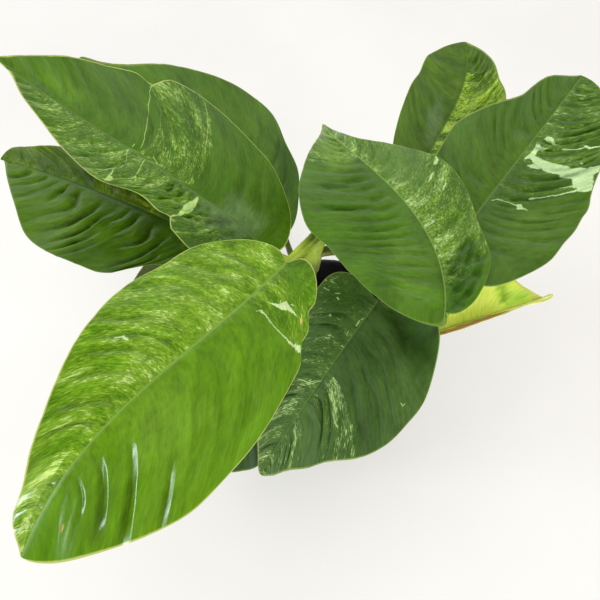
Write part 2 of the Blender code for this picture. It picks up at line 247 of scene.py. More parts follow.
class Blade:
    """The middle surface of one leaf blade, for whole arrays of points at once."""

    def __init__(self, sizes):
        self.sizes = {**PLAIN_LEAF, **sizes}
        self.base = np.array(self.sizes["base"], float)
        self.chord = np.array(self.sizes["tip"], float) - self.base
        self.side = unit(np.cross(self.chord, (0, 0, 1)))
        self.up = np.cross(self.side, unit(self.chord))
        stops = self.midrib(np.linspace(0, 1, 60))
        self.length = float(np.linalg.norm(np.diff(stops, axis=0), axis=1).sum())

    def midrib(self, t):
        t = np.asarray(t, float)[..., None]
        first = np.where(t > 0, 13.5 * t * (1 - t) * (2 / 3 - t), 9.0 * t)
        second = np.where(t > 0, 13.5 * t * (1 - t) * (t - 1 / 3), -4.5 * t)
        lift = self.sizes["lift"][0] * first + self.sizes["lift"][1] * second
        sway = self.sizes["sway"][0] * first + self.sizes["sway"][1] * second
        return self.base + self.chord * t + self.up * lift + self.side * sway

    def axes(self, t):
        """Directions across the blade and up out of it at shares along the midrib."""
        step = 0.0001
        tangent = unit(self.midrib(t + step) - self.midrib(t - step))
        side = unit(self.side - tangent * (tangent @ self.side)[..., None])
        return side, np.cross(side, tangent)

    def pick(self, key, right):
        left_value, right_value = self.sizes[key]
        return np.where(right, right_value, left_value)

    def pick_along(self, key, right, vein):
        """A value that differs between the sides and goes evenly from base to tip."""
        left_pair, right_pair = self.sizes[key]
        return np.where(right, between(right_pair, vein), between(left_pair, vein))

    def forward(self, vein, right):
        return vein + self.pick("sweep", right) * vein ** SWEEP_POWER * (1 - vein) / SWEEP_PEAK

    def along_vein(self, vein, right):
        """Millimetres along the blade of a vein's middle, which stand for the whole vein."""
        return self.length * (vein + self.forward(vein, right)) / 2

    def margin(self, vein, right):
        forward = self.forward(vein, right)
        reach = forward / LOBE_PEAK
        back = self.pick("lobe", right) / self.length * reach * np.exp(1 - reach)
        share = np.arccos(1 - 2 * np.clip(forward, 0, 1)) / math.pi
        left_width, right_width = (curve_through(self.sizes[hand], share) for hand in ("left", "right"))
        width = np.where(right, right_width, left_width)
        for hand, place, depth, before, after in self.sizes["notches"]:
            dip = 1 - depth * bump_at(forward, place, np.where(forward < place, before, after))
            width = np.where(right == (hand > 0), width * dip, width)
        return forward - back, width

    def surface(self, vein, across, relief=0.0):
        """Points, facing directions and half widths at veins and shares across (-1 left margin, 1 right)."""
        right = across > 0
        share = np.abs(across)
        along_margin, width = self.margin(vein, right)
        along = vein + (along_margin - vein) * share ** 2
        fold = np.radians(self.pick_along("fold", right, vein))
        widest = np.where(right, max(self.sizes["right"]), max(self.sizes["left"]))
        bend = np.radians(self.pick_along("curl", right, vein)) / widest
        tilt = fold + bend * (width * share)
        out = (np.sin(tilt) - np.sin(fold)) / bend
        rise = (np.cos(fold) - np.cos(tilt)) / bend
        turn = 2 * math.pi * (WAVE_COUNT * vein + 0.25 * right)
        rise = rise + WAVE_HEIGHT * share ** 3 * np.sin(turn) * np.sqrt(np.maximum(np.sin(math.pi * vein), 0))
        side, normal = self.axes(along)
        hand = np.where(right, 1.0, -1.0)
        facing = normal * np.cos(tilt)[..., None] - side * (np.sin(tilt) * hand)[..., None]
        place = self.midrib(along) + side * (out * hand)[..., None] + normal * rise[..., None]
        return place + facing * np.asarray(relief)[..., None], facing, width


# Leaf relief and mesh


def pleats(blade, vein, along, lateral, seed, count, amount):
    """Rounded ridges along the veins with narrow valleys between them."""
    wander = 0.30 * ripple(vein, 0, seed, 0.35, 1, 6)
    phase = vein * count + wander + 0.12 * ripple(along, lateral, seed + 3, 70, 45, 6)
    strength = amount * (0.8 + 0.5 * ripple(np.round(phase), lateral / 60, seed + 5, 5, 1.2, 6))
    from_valley = np.abs(phase - np.round(phase)) * blade.length / count
    ridge = 0.7 * np.abs(np.sin(math.pi * phase)) - 0.44
    return (ridge - 0.75 * bump_at(from_valley, 0, VALLEY_HALF_WIDTH)) * strength


def crease(blade, vein, share, bend, place, depth, ramp, start, end):
    """One deep valley with a long slope on its base side, between two shares across."""
    room = smoothstep(share, start - 0.2, start + 0.25) * (1 - smoothstep(share, end - 0.1, end + 0.1))
    gap = (vein - place - bend * (1 - share) ** 2) * blade.length
    growth = 0.35 + 0.65 * share
    before = np.clip(1 + gap / (ramp * growth), 0, 1)
    after = np.clip(1 - gap / (0.5 * ramp * growth), 0, 1)
    return depth * np.where(gap < 0, before, after) * room * growth * (0.85 + 0.3 * share)


def relief_of(blade, vein, across, look):
    """Height of the blade's groove, folds and bumps over its middle surface, in millimetres."""
    right = across > 0
    share = np.abs(across)
    width = blade.margin(vein, right)[1]
    lateral = share * width
    along = blade.along_vein(vein, right)
    height = -between(GROOVE_DEPTH, vein) * bump_at(lateral, 0, between(GROOVE_HALF_WIDTH, vein))
    fade_from, fade_to, fade_share = look["pleat_fade"]
    shown = smoothstep(share, 0.03, 0.3) * (1 - fade_share * smoothstep(share, fade_from, fade_to))
    shown = shown * np.maximum(np.sin(math.pi * np.clip(vein, 0, 1)), 0) ** 0.3
    for hand, (count, amount) in enumerate(look["pleats"]):
        fold = pleats(blade, vein, along, lateral, look["seed"] * 10 + hand, count, amount)
        height = np.where(right == bool(hand), height + fold * shown, height)
    for hand, *sizes in look["valleys"]:
        dent = crease(blade, vein, share, look["valley_bend"], *sizes)
        height = np.where(right == (hand > 0), height - dent, height)
    height = height + look["rough"] * ripple(along, across * width, look["seed"] + 3, 14, 16, 14) * shown
    for hand, low, high, depth, length in look["rugose"]:
        room = smoothstep(vein, low - 0.04, low + 0.03) * (1 - smoothstep(vein, high - 0.05, high + 0.05))
        room = room * smoothstep(share, 0.03, 0.2) * (1 - smoothstep(share, 0.75, 0.98))
        bumps = ripple(along, across * width, look["seed"] + 8, length, length * 1.3, 14)
        height = np.where(right == (hand > 0), height + depth * bumps * room, height)
    return height


def blade_faces(rows, columns):
    """Faces of a closed sheet: a top and a bottom grid, each with one more point at either end."""
    last = 1 + (rows - 1) * columns
    count = last + 1
    grid = np.arange(1, last).reshape(rows - 1, columns)
    top = grid_faces(grid) + fan(0, grid[0]) + fan(last, grid[-1][::-1])
    bottom = [[corner + count for corner in face[::-1]] for face in top]
    left, right = (np.array([0, *grid[:, column], last]) for column in (0, -1))
    rim = grid_faces(np.stack([left, left + count])) + grid_faces(np.stack([right + count, right]))
    return top + bottom + rim


def leaf_object(name, sizes, look):
    """A blade's mesh. Its attributes say where on the blade each point is: leaf_share holds the vein, the
    share across and whether it is underneath, leaf_place the millimetres along, across and up."""
    blade = Blade({**sizes, **look["veins"]})
    small = max(sizes["left"]) < SMALL_LEAF
    rows = ROWS // 2 if small else look["rows"]
    half_columns = HALF_COLUMNS // 2 if small else HALF_COLUMNS
    halves = np.append(np.linspace(0, 1, half_columns) ** 1.3 * 0.985, 1.0)
    shares = np.concatenate([-halves[::-1], halves[1:]])
    veins = 0.5 - 0.5 * np.cos(np.linspace(0, math.pi, rows + 1))[1:-1]
    vein, across = np.meshgrid(veins, shares, indexing="ij")
    relief = relief_of(blade, vein, across, look)
    points, facing, width = blade.surface(vein, across, relief)
    end_points, end_facing, _ = blade.surface(np.array([0.0, 1.0]), np.zeros(2))
    rib = between(RIB_HEIGHT, vein) * bump_at(np.abs(across) * width, 0, between(RIB_HALF_WIDTH, vein))
    half = BLADE_THICKNESS / 2 * (1 - MARGIN_THINNING * smoothstep(np.abs(across), 0.93, 1.0))

    def layer(offset, end_offset):
        body = (points + facing * offset[..., None]).reshape(-1, 3)
        tips = end_points + end_facing * end_offset
        return np.concatenate([tips[:1], body, tips[1:]]) * MM

    layers = np.concatenate([layer(half, BLADE_THICKNESS / 4), layer(-(half + rib), -BLADE_THICKNESS / 4)])
    mesh = bpy.data.meshes.new(name)
    mesh.from_pydata(layers.tolist(), [], blade_faces(rows, len(shares)))
    share_values = np.stack([vein, across, 0 * vein], -1).reshape(-1, 3)
    place_values = np.stack([blade.along_vein(vein, across > 0), across * width, relief], -1).reshape(-1, 3)
    for label, values, end, lower in (("leaf_share", share_values, 1, (0, 0, 1)),
                                      ("leaf_place", place_values, blade.length, (0, 0, 0))):
        values = np.concatenate([[[0, 0, 0]], values, [[end, 0, 0]]])
        both = np.concatenate([values, values + lower]).astype(np.float32)
        attribute = mesh.attributes.new(label, "FLOAT_VECTOR", "POINT")
        attribute.data.foreach_set("vector", both.ravel())
    mesh.shade_smooth()
    mesh.set_sharp_from_angle(angle=math.radians(60))
    return add_object(name, mesh), blade


# Materials


class Value:
    """What a node puts out. Arithmetic on it adds math nodes to its graph."""

    def __init__(self, graph, socket):
        self.graph = graph
        self.socket = socket

    def __add__(self, other):
        return self.graph.math("ADD", self, other)

    def __sub__(self, other):
        return self.graph.math("SUBTRACT", self, other)

    def __rsub__(self, other):
        return self.graph.math("SUBTRACT", other, self)

    def __mul__(self, other):
        return self.graph.math("MULTIPLY", self, other)

    def __abs__(self):
        return self.graph.math("ABSOLUTE", self)

    __radd__ = __add__
    __rmul__ = __mul__


class Graph:
    """Short names for building a node material."""

    def __init__(self, name):
        self.material = bpy.data.materials.new(name)
        self.material.use_nodes = True
        self.tree = self.material.node_tree
        self.shader = self.tree.nodes["Principled BSDF"]

    def node(self, kind, *inputs, output=0, **settings):
        """What a new node puts out. Its inputs are pairs of a socket's name or number and a value."""
        node = self.tree.nodes.new("ShaderNode" + kind)
        for name, setting in settings.items():
            setattr(node, name, setting)
        for socket, value in inputs:
            self.feed(node.inputs[socket], value)
        return Value(self, node.outputs[output])

    def feed(self, socket, value):
        if isinstance(value, Value):
            self.tree.links.new(value.socket, socket)
        elif socket.type == "RGBA":
            socket.default_value = (*value, 1.0)
        else:
            socket.default_value = value

    def attribute(self, name):
        return self.node("Attribute", attribute_name=name, output="Vector")

    def place(self):
        return self.node("TexCoord", output="Object")

    def split(self, vector):
        first = self.node("SeparateXYZ", (0, vector))
        return tuple(Value(self, socket) for socket in first.socket.node.outputs)

    def join(self, x, y, z=0.0):
        return self.node("CombineXYZ", (0, x), (1, y), (2, z))

    def math(self, operation, first, second=0.0, clamp=False):
        return self.node("Math", (0, first), (1, second), operation=operation, use_clamp=clamp)

    def vector(self, operation, first, second=(0, 0, 0), scale=1.0):
        output = "Value" if operation in ("DISTANCE", "DOT_PRODUCT") else "Vector"
        return self.node("VectorMath", (0, first), (1, second), (3, scale),
                         operation=operation, output=output)

    def step(self, *values):
        """A smooth step of a value between two limits, from 0 to 1 or between two more values."""
        return self.node("MapRange", *enumerate(values), interpolation_type="SMOOTHSTEP")

    def noise(self, vector, scale, detail=2.0, roughness=0.5, distortion=0.0, output=0):
        return self.node("TexNoise", ("Vector", vector), ("Scale", scale), ("Detail", detail),
                         ("Roughness", roughness), ("Distortion", distortion), output=output)

    def mix(self, share, first, second):
        return self.node("Mix", (0, share), (6, first), (7, second), data_type="RGBA", output=2)

    def bump(self, height, distance, strength):
        normal = self.node("Bump", ("Height", height), ("Distance", distance), ("Strength", strength))
        self.feed(self.shader.inputs["Normal"], normal)

    def finish(self, colour, roughness, specular=0.5, **others):
        self.feed(self.shader.inputs["Base Color"], colour)
        self.feed(self.shader.inputs["Roughness"], roughness)
        self.shader.inputs["Specular IOR Level"].default_value = specular
        for name, value in others.items():
            self.shader.inputs[name.replace("_", " ")].default_value = value
        return self.material


class LeafGraph(Graph):
    """A blade's material, which works in the blade's own places."""

    def __init__(self, name, blade, look):
        super().__init__(name)
        self.blade = blade
        self.look = look
        self.vein, self.across, self.under = self.split(self.attribute("leaf_share"))
        self.along, self.lateral, self.relief = self.split(self.attribute("leaf_place"))
        self.spread = abs(self.across)
        self.outward = abs(self.lateral)
        self.seed = look["seed"] * 37.0
        self.flat = self.join(self.along, self.lateral, self.seed)
        self.streak = self.stretched_noise(look["grain"], 4.0, 0.62, 0.3)
        self.drift = self.stretched_noise((0.12, 0.04), 2.0, 0.5, 0.5)
        self.speck = self.noise(self.flat, 1.7, 2.0, 0.7)
        self.warp = self.split(self.noise(self.flat, 0.11, 3.0, 0.6, output="Color"))
        swirl = self.noise(self.flat, 0.45, 3.0, 0.65, output="Color")
        wander = self.vector("SCALE", self.vector("SUBTRACT", swirl, (0.5, 0.5, 0.5)), scale=look["wander"])
        moved = self.vector("ADD", self.join(self.along, self.lateral), wander)
        self.warped = self.vector("ADD", self.vector("MULTIPLY", moved, (1, 1, 0)), (0, 0, 1))
        turns = 2 * math.pi * round(blade.length / FINE_VEIN_SPACING)
        self.fine_lines = self.math("SINE", self.vein * turns + self.warp[1] * 16.0)

    def tone(self, key):
        return srgb(*self.look[key])

    def stretched_noise(self, stretch, detail, roughness, distortion=0.0):
        """Noise with its own scale along and across the blade."""
        place = self.join(self.along * stretch[0], self.lateral * stretch[1], self.seed)
        return self.noise(place, 1.0, detail, roughness, distortion)

    def along_vein(self, vein, right):
        return float(self.blade.along_vein(np.array(max(vein, 0.0)), np.array(right)))

    def band(self, hand, low, high, start, end, strength, soft=2.0):
        """How much of a marbled sector a point is in. low and high are veins, or a pair of the vein at the
        midrib and the one at the margin. start and end are shares across, and soft is in millimetres."""
        right = hand > 0
        inside = self.step(self.across * hand, start - 0.02, start + 0.02)
        if end < 1:
            inside = inside * self.step(self.warp[1] * 0.2 + self.spread, end + 0.16, end + 0.04)
        shifted = self.warp[0] * 7.0 + (self.along - 3.5)
        for limits, way in ((low, 1.0), (high, -1.0)):
            at_rib, at_margin = limits if isinstance(limits, tuple) else (limits, limits)
            if max(at_rib, at_margin) <= 0 or min(at_rib, at_margin) >= 1:
                continue
            first = self.along_vein(at_rib, right)
            line = self.spread * (self.along_vein(at_margin, right) - first) + first
            inside = inside * self.step((shifted - line) * way, -soft, soft)
        return inside * strength

    def spot(self, mark):
        """A mark's place on the blade in millimetres, from its vein and share across in thousandths."""
        vein, across = mark[0] / 1000, mark[1] / 1000
        half_width = float(self.blade.margin(np.array(max(vein, 0.0)), np.array(across > 0))[1])
        return np.array([self.along_vein(vein, across > 0), across * half_width, 1.0])

    def segment(self, mark_a, mark_b):
        """Depth inside a tapered line between two marks, whose third value is a radius in millimetres."""
        first, second = self.spot(mark_a), self.spot(mark_b)
        reach = second - first
        from_start = self.vector("SUBTRACT", self.warped, tuple(first))
        length_squared = float(reach @ reach) or 1.0
        part = self.vector("DOT_PRODUCT", from_start, tuple(reach))
        part = self.math("MULTIPLY", part, 1 / length_squared, clamp=True)
        gap = self.vector("DISTANCE", from_start, self.vector("SCALE", tuple(reach), scale=part))
        return part * (mark_b[2] - mark_a[2]) + mark_a[2] - gap

    def shape(self, corners):
        """Depth inside a convex patch with the given corners."""
        points = [spot[:2] for spot in map(self.spot, corners)]
        pairs = list(zip(points, points[1:] + points[:1]))
        turns = sum(a[0] * b[1] - a[1] * b[0] for a, b in pairs)
        sides = []
        for a, b in pairs:
            way = (b - a) / max(float(np.linalg.norm(b - a)), 1e-6)
            inward = np.array([-way[1], way[0]]) * (1 if turns > 0 else -1)
            plane = (float(inward[0]), float(inward[1]), float(-inward @ a))
            sides.append(self.vector("DOT_PRODUCT", self.warped, plane))
        return self.chosen("MINIMUM", sides)

    def chosen(self, operation, values):
        """The smallest or the largest of several values."""
        total = values[0]
        for value in values[1:]:
            total = self.math(operation, total, value)
        return total

    def marbling(self, colour):
        sector = self.chosen("MAXIMUM", [self.band(*patch) for patch in self.look["marbled"]])
        fleck = self.stretched_noise(self.look["fleck"], 3.0, 0.6, 0.4)
        value = self.drift * 0.34 + self.streak * 0.30 + fleck * 0.36 - 0.10 + sector * 0.16
        cream_from = self.look["cream_from"]
        tones = self.mix(self.step(value, 0.43, 0.48), self.tone("smoky"), colour)
        tones = self.mix(self.step(value, 0.50, 0.53), tones, self.tone("middle"))
        tones = self.mix(self.step(value, 0.55, 0.585), tones, self.tone("pale"))
        tones = self.mix(self.step(value, cream_from, cream_from + 0.035), tones, self.tone("cream"))
        return self.mix(self.step(sector, 0.02, 0.3), colour, tones)

    def markings(self, colour):
        """Tinted areas, some of them painted shade and painted shadow, cream shapes and lines, and coloured
        spots.
        """
        # Some tints are painted shade and painted shadow; the others are the leaf's own colour.
        for tint, amount, soft, corners in self.look["tints"]:
            colour = self.mix(self.step(self.shape(corners), -soft, soft, 0.0, amount), colour, srgb(*tint))
        marks = [self.shape(corners) for corners in self.look["shapes"]]
        marks += [self.segment(a, b) for line in self.look["lines"] for a, b in zip(line, line[1:])]
        if marks:
            cream = self.step(self.chosen("MAXIMUM", marks), -0.3, 0.3)
            tone = self.mix(self.step(self.speck, 0.52, 0.72), self.tone("mark"), self.tone("mark_shade"))
            colour = self.mix(cream * (1.0 - self.under), colour, tone)
        for spot_colour, mark_a, mark_b in self.look["spots"]:
            colour = self.mix(self.step(self.segment(mark_a, mark_b), -0.8, 0.9), colour, srgb(*spot_colour))
        return colour

    def shading(self, colour):
        """Lightness that varies with the fine veins and two sizes of noise, with painted shade in the fold
        valleys and painted light on the fold ridges.
        """
        fading = self.step(self.spread, 0.02, 0.15, 0.2, 1.0)
        mottle = self.stretched_noise((0.34, 0.20), 4.0, 0.65)
        shade = self.stretched_noise((0.085, 0.05), 2.0, 0.5, 0.6)
        tone = self.fine_lines * fading * self.look["fine"] + 1.0
        tone = tone + (mottle - 0.5) * self.look["mottle"] + (shade - 0.5) * self.look["shade"]
        # Painted shade: darker where the blade dips into a fold valley, lighter on the ridges.
        tone = tone + self.math("MAXIMUM", self.relief, -2.5) * self.look["painted_fold_shade"]
        return self.vector("SCALE", colour, scale=tone)

    def rib_and_edge(self, colour):
        at_base, at_tip = self.look["rib"]
        rib = self.vein * (at_tip - at_base) + at_base
        rib = self.step(self.outward - (self.streak * 0.8 + (rib - 0.4)), 0.35, -0.35)
        colour = self.mix(rib * self.look["rib_share"], colour, self.tone("rib_colour"))
        half_width = self.math("DIVIDE", self.outward, self.math("MAXIMUM", self.spread, 0.01))
        far_from_edge = self.step(self.spread, 0.7, 0.5, 0.0, 9.0)
        from_edge = half_width - self.outward + far_from_edge - self.warp[2] * 0.5
        edge = self.step(from_edge, self.look["edge_width"], 0.05, 0.0, self.look["edge_share"])
        return self.mix(edge, colour, self.tone("edge"))


def leaf_material(name, blade, look):
    g = LeafGraph(name, blade, look)
    colour = g.mix(g.step(g.noise(g.flat, 0.024, 3.0, 0.55), 0.3, 0.7), g.tone("dark"), g.tone("plain"))
    colour = g.mix(g.step(g.drift, 0.35, 0.7, 0.0, look["drift"]), colour, g.tone("middle"))
    if look["marbled"]:
        colour = g.marbling(colour)
    colour = g.rib_and_edge(g.shading(g.markings(colour)))
    colour = g.mix(g.under, colour, g.mix(look["under_share"], colour, g.tone("underside")))
    gloss = g.step(g.noise(g.flat, 0.06, 3.0, 0.6), 0.3, 0.7, look["rough_low"], look["rough_low"] + 0.10)
    gloss = gloss + g.under * 0.2 + g.step(g.outward, 3.0, 1.2, 0.0, 0.2)
    g.bump(g.streak * 0.5 + g.speck * 0.3 + g.fine_lines * look["fine_bump"], 0.0005, look["bump"])
    return g.finish(colour, gloss, look["specular"], Subsurface_Weight=look["subsurface"],
                    Subsurface_Scale=0.002, Subsurface_Radius=(1.0, 1.0, 0.4))


def stem_material(name, base, pale, dark):
    g = Graph(name)
    place = g.place()
    x, y, z = g.split(place)
    streaks = g.noise(g.join(x * 700.0, y * 700.0, z * 60.0), 1.0, 3.0, 0.6)
    patches = g.noise(place, 55.0, 2.0)
    colour = g.mix(g.step(patches, 0.35, 0.7), srgb(*base), srgb(*pale))
    colour = g.mix(g.step(streaks, 0.5, 0.75, 0.0, 0.7), colour, srgb(*pale))
    colour = g.mix(g.step(streaks, 0.42, 0.25, 0.0, 0.5), colour, srgb(*dark))
    g.bump(streaks, 0.0004, 0.4)
    return g.finish(colour, g.step(patches, 0.3, 0.7, 0.36, 0.5), 0.45)


def soil_material():
    g = Graph("soil_bark_mix")
    place = g.place()
    grains = g.noise(place, 900.0, 3.0, 0.7)
    lumps = g.noise(place, 160.0, 2.0, 0.5)
    colour = g.mix(g.step(lumps, 0.35, 0.65), srgb(38, 28, 20), srgb(86, 60, 38))
    colour = g.mix(g.step(grains, 0.55, 0.75), colour, srgb(122, 92, 62))
    g.bump(grains, 0.0008, 0.8)
    return g.finish(colour, g.step(grains, 0.3, 0.7, 0.85, 1.0), 0.3)


def pot_material():
    g = Graph("pot_black_plastic")
    place = g.place()
    height = g.split(place)[2]
    cloud = g.noise(place, 22.0, 3.0, 0.6)
    dust = g.noise(place, 160.0, 3.0, 0.65)
    colour = g.mix(g.step(cloud, 0.3, 0.75), srgb(17, 18, 20), srgb(31, 32, 35))
    colour = g.mix(g.step(dust, 0.6, 0.8, 0.0, 0.35), colour, srgb(96, 88, 78))
    turning_marks = g.math("SINE", height * 9000.0)
    g.bump(turning_marks * 0.12 + dust, 0.0003, 0.35)
    return g.finish(colour, g.step(cloud, 0.25, 0.8, 0.34, 0.5), 0.5)


def floor_material():
    g = Graph("floor_pale")
    grain = g.noise(g.place(), 3.0, 4.0)
    colour = g.mix(g.step(grain, 0.3, 0.7), srgb(182, 179, 176), srgb(190, 187, 184))
    return g.finish(colour, 0.8, 0.2, Emission_Color=(0.97, 0.96, 0.93, 1.0), Emission_Strength=0.45)


# Stem and stalks


def smooth_route(points, steps):
    knots = np.array(points, float)
    padded = np.vstack([2 * knots[0] - knots[1], knots, 2 * knots[-1] - knots[-2]])
    shares = np.linspace(0, 1, 24, endpoint=False)
    fine = [spline(*padded[start:start + 4], share) for start in range(len(knots) - 1) for share in shares]
    fine = np.array([*fine, knots[-1]])
    travelled = np.concatenate([[0], np.cumsum(np.linalg.norm(np.diff(fine, axis=0), axis=1))])
    stops = np.linspace(0, travelled[-1], steps)
    return np.stack([np.interp(stops, travelled, fine[:, axis]) for axis in range(3)], axis=1)


def stem_centre(height):
    route = smooth_route(STEM_ROUTE, 200)
    return np.array([np.interp(height, route[:, 2], route[:, axis]) for axis in range(3)])


def tube(route, up_hint, section, sides=28):
    """A closed tube along route; section(share, angle) gives the radius, with angle 0 on the upper side."""
    tangent = unit(np.gradient(route, axis=0))
    side = unit(np.cross(tangent, up_hint))
    up = np.cross(side, tangent)
    angles = np.linspace(0, 2 * math.pi, sides, endpoint=False)
    points = []
    for place, sideways, upward, share in zip(route, side, up, np.linspace(0, 1, len(route))):
        ring = np.cos(angles)[:, None] * upward + np.sin(angles)[:, None] * sideways
        points.append(place + section(share, angles)[:, None] * ring)
    end = sides * len(route)
    grid = ringed(len(route), sides)
    faces = grid_faces(grid) + fan(end, grid[0]) + fan(end + 1, grid[-1][::-1])
    return np.concatenate([*points, route[:1], route[-1:]]), faces


def sheath(foot, outward, extra):
    """The stalk's lower end, which wraps round the stem below its foot as a thin open sleeve."""
    low = foot - SHEATH_DEPTH
    heading = math.atan2(outward[1], outward[0])
    offsets = np.linspace(-SHEATH_HALF_TURN, SHEATH_HALF_TURN, 31)
    thin = 1 - 0.7 * smoothstep(np.abs(offsets), 1.9, SHEATH_HALF_TURN)
    rows = []
    for level in np.linspace(0, 1, 18):
        height = low + (foot + SHEATH_RISE - low) * level
        radius = float(np.interp(height, [point[2] for point in STEM_ROUTE], STEM_RADII))
        turn = heading + offsets * (1 - 0.55 * smoothstep(level, 0.35, 1.0))
        around = np.stack([np.cos(turn), np.sin(turn), 0 * turn], axis=-1)
        gap = (0.75 + 0.6 * level + extra) * thin * smoothstep(level, 0.0, 0.12)
        inside = stem_centre(height) + (radius + 0.25) * around
        rows.append(np.concatenate([inside + gap[:, None] * around, inside[::-1]]))
    grid = ringed(len(rows), len(rows[0]))
    faces = grid_faces(grid)
    for end in (grid[0, :-1], grid[-1, -2::-1]):
        first_half, second_half = np.split(end, 2)
        faces += grid_faces(np.stack([second_half[::-1], first_half]))
    return np.concatenate(rows), faces


def stalk_object(name, blade, sizes, radii, shift, channel):
    """A channelled stalk with a swelling below the blade, and its sheath. shift is how far its bends stand
    from the solid's."""
    normal = blade.axes(np.array(0.0))[1]
    foot_radius, neck_radius = radii
    depth = BLADE_THICKNESS / 2 + 1.0 + neck_radius
    points = [stem_centre(sizes["foot"]), *(np.array(sizes["via"]) + np.array(shift)),
              blade.midrib(0.0) - normal * depth, blade.midrib(0.03) - normal * (depth - 1.6)]

    def section(share, angle):
        radius = foot_radius + (neck_radius - foot_radius) * share
        radius = radius * (1 + 0.16 * bump_at(share, 0.86, 0.06)) * (1 - 0.55 * smoothstep(share, 0.93, 1.0))
        turn = np.minimum(angle, 2 * math.pi - angle)
        groove = channel * bump_at(turn, 0, 0.42) * (1 - smoothstep(share, 0.8, 0.9))
        wings = 0.5 * channel * bump_at(turn, 0.85, 0.3) * (1 - smoothstep(share, 0.6, 0.9))
        return radius * (1 - groove + wings)

    shape = bmesh.new()
    add_part(shape, *tube(smooth_route(points, 46), (0, 0, 1), section))
    add_part(shape, *sheath(sizes["foot"], points[1] - points[0], foot_radius - STALK_FOOT_RADIUS))
    return smooth_object(name, shape)


def stem_object(name):
    """The stem, with a ring at each leaf's node."""
    route = smooth_route(STEM_ROUTE, STEM_STEPS)
    nodes = sorted(sizes["foot"] - STEM_NODE_DROP for sizes in LEAVES.values())

    def section(share, angle):
        height = float(np.interp(share, np.linspace(0, 1, STEM_STEPS), route[:, 2]))
        radius = float(np.interp(share, np.linspace(0, 1, len(STEM_RADII)), STEM_RADII))
        rings = sum(0.35 * bump_at(height, node, 1.3) for node in nodes)
        radius = radius * (1 - 0.6 * smoothstep(share, 0.965, 1.0)) + rings
        return radius * (1 + 0.015 * np.sin(3 * angle + height / 9))

    shape = bmesh.new()
    add_part(shape, *tube(route, (0, 1, 0), section, 32))
    return smooth_object(name, shape)


# Soil


def soil_height(x, y):
    dome = SOIL_TOP + SOIL_DOME * (1 - smoothstep(math.hypot(x, y), 0.0, SOIL_RADIUS))
    lumps = 0.5 * ripple(x, y, 21, 16, 16, 12) + 0.3 * ripple(x, y, 22, 6, 6, 12)
    return float(dome - 0.9 + 0.6 * lumps)


def soil_bed():
    """The soil's lumpy top, tapered side and flat bottom."""
    turns = [2 * math.pi * spoke / SOIL_SPOKES for spoke in range(SOIL_SPOKES)]

    def ring(radius):
        return [(radius * math.cos(angle), radius * math.sin(angle)) for angle in turns]

    points = [(x, y, soil_height(x, y)) for number in range(1, SOIL_RINGS + 1)
              for x, y in ring(SOIL_RADIUS * (number / SOIL_RINGS))]
    points += [(x, y, SOIL_FLOOR) for x, y in ring(SOIL_FLOOR_RADIUS)]
    grid = ringed(SOIL_RINGS + 1, SOIL_SPOKES)
    faces = grid_faces(grid) + fan(len(points), grid[0]) + [grid[-1, :-1].tolist()]
    return [*points, (0, 0, soil_height(0, 0))], faces


def add_bark(shape, rng, centre):
    """Seeded bark chips that lie in the soil, clear of the stem."""
    for _ in range(BARK_CHIPS):
        angle, radius = rng.uniform(0, 2 * math.pi), (SOIL_RADIUS - 5) * math.sqrt(rng.uniform(0, 1))
        x, y = radius * math.cos(angle), radius * math.sin(angle)
        if math.hypot(x - centre[0], y - centre[1]) < BARK_CLEAR_OF_STEM:
            continue
        size = rng.uniform(1.8, 5.5)
        lift = soil_height(x, y) + 0.15 * size
        verts = bmesh.ops.create_icosphere(shape, subdivisions=1, radius=1.0)["verts"]
        stretch = np.array((size, size * rng.uniform(0.4, 0.8), size * rng.uniform(0.18, 0.4)))
        turn, lean = rng.uniform(0, 2 * math.pi), rng.uniform(-0.35, 0.35)
        for vert in verts:
            px, py, pz = np.array(vert.co) * stretch * rng.uniform(0.75, 1.15)
            px, pz = px * math.cos(lean) - pz * math.sin(lean), px * math.sin(lean) + pz * math.cos(lean)
            vert.co = ((x + px * math.cos(turn) - py * math.sin(turn)) * MM,
                       (y + px * math.sin(turn) + py * math.cos(turn)) * MM,
                       min(lift + pz, SOIL_TOP + BARK_HIGHEST) * MM)


def soil_object(name):
    shape = bmesh.new()
    add_part(shape, *soil_bed())
    add_bark(shape, np.random.default_rng(5), stem_centre(SOIL_TOP))
    return smooth_object(name, shape, 38)


# Leaf looks. Colours are display values from 0 to 255.
# pleats: count and height for each half. pleat_fade: where across they fade, and how much.
# valleys: side, vein, depth, slope length, start and end across.
# rugose: side, first and last vein, height and length of small bumps.
# grain, fleck: how fine the streaks and flecks are along and across.
# wander: how far marks stray from their places, in millimetres.
# marbled: what LeafGraph.band takes. shapes: corners of cream patches. lines: points of cream lines.
# tints: colour, amount, softness in millimetres and corners; some of them are painted shade and painted
# shadow. spots: colour and two points.
# A corner or point is its vein and its share across, in thousandths, then in lines and spots its radius in
# millimetres. They were traced on the photograph.
# Each look also sets how strongly its folds are painted with shade in the valleys and light on the ridges.
PLAIN_LOOK = dict(
    underside=(110, 132, 78), under_share=0.55, rows=ROWS, veins={}, pleats=((13, 0.7), (13, 0.7)),
    pleat_fade=(0.7, 1.0, 0.7), valleys=(), valley_bend=0.0, rugose=(), rough=0.12, grain=(0.75, 0.24),
    fleck=(1.15, 0.62), drift=0.25, wander=2.4, marbled=(), cream_from=0.61, tints=(), shapes=(), lines=(),
    spots=(), fine=0.04, fine_bump=0.07, mottle=0.9, shade=0.8, painted_fold_shade=0.11, rib_share=0.6,
    edge_width=0.55, edge_share=0.9, bump=0.4, specular=0.38, subsurface=0.0)
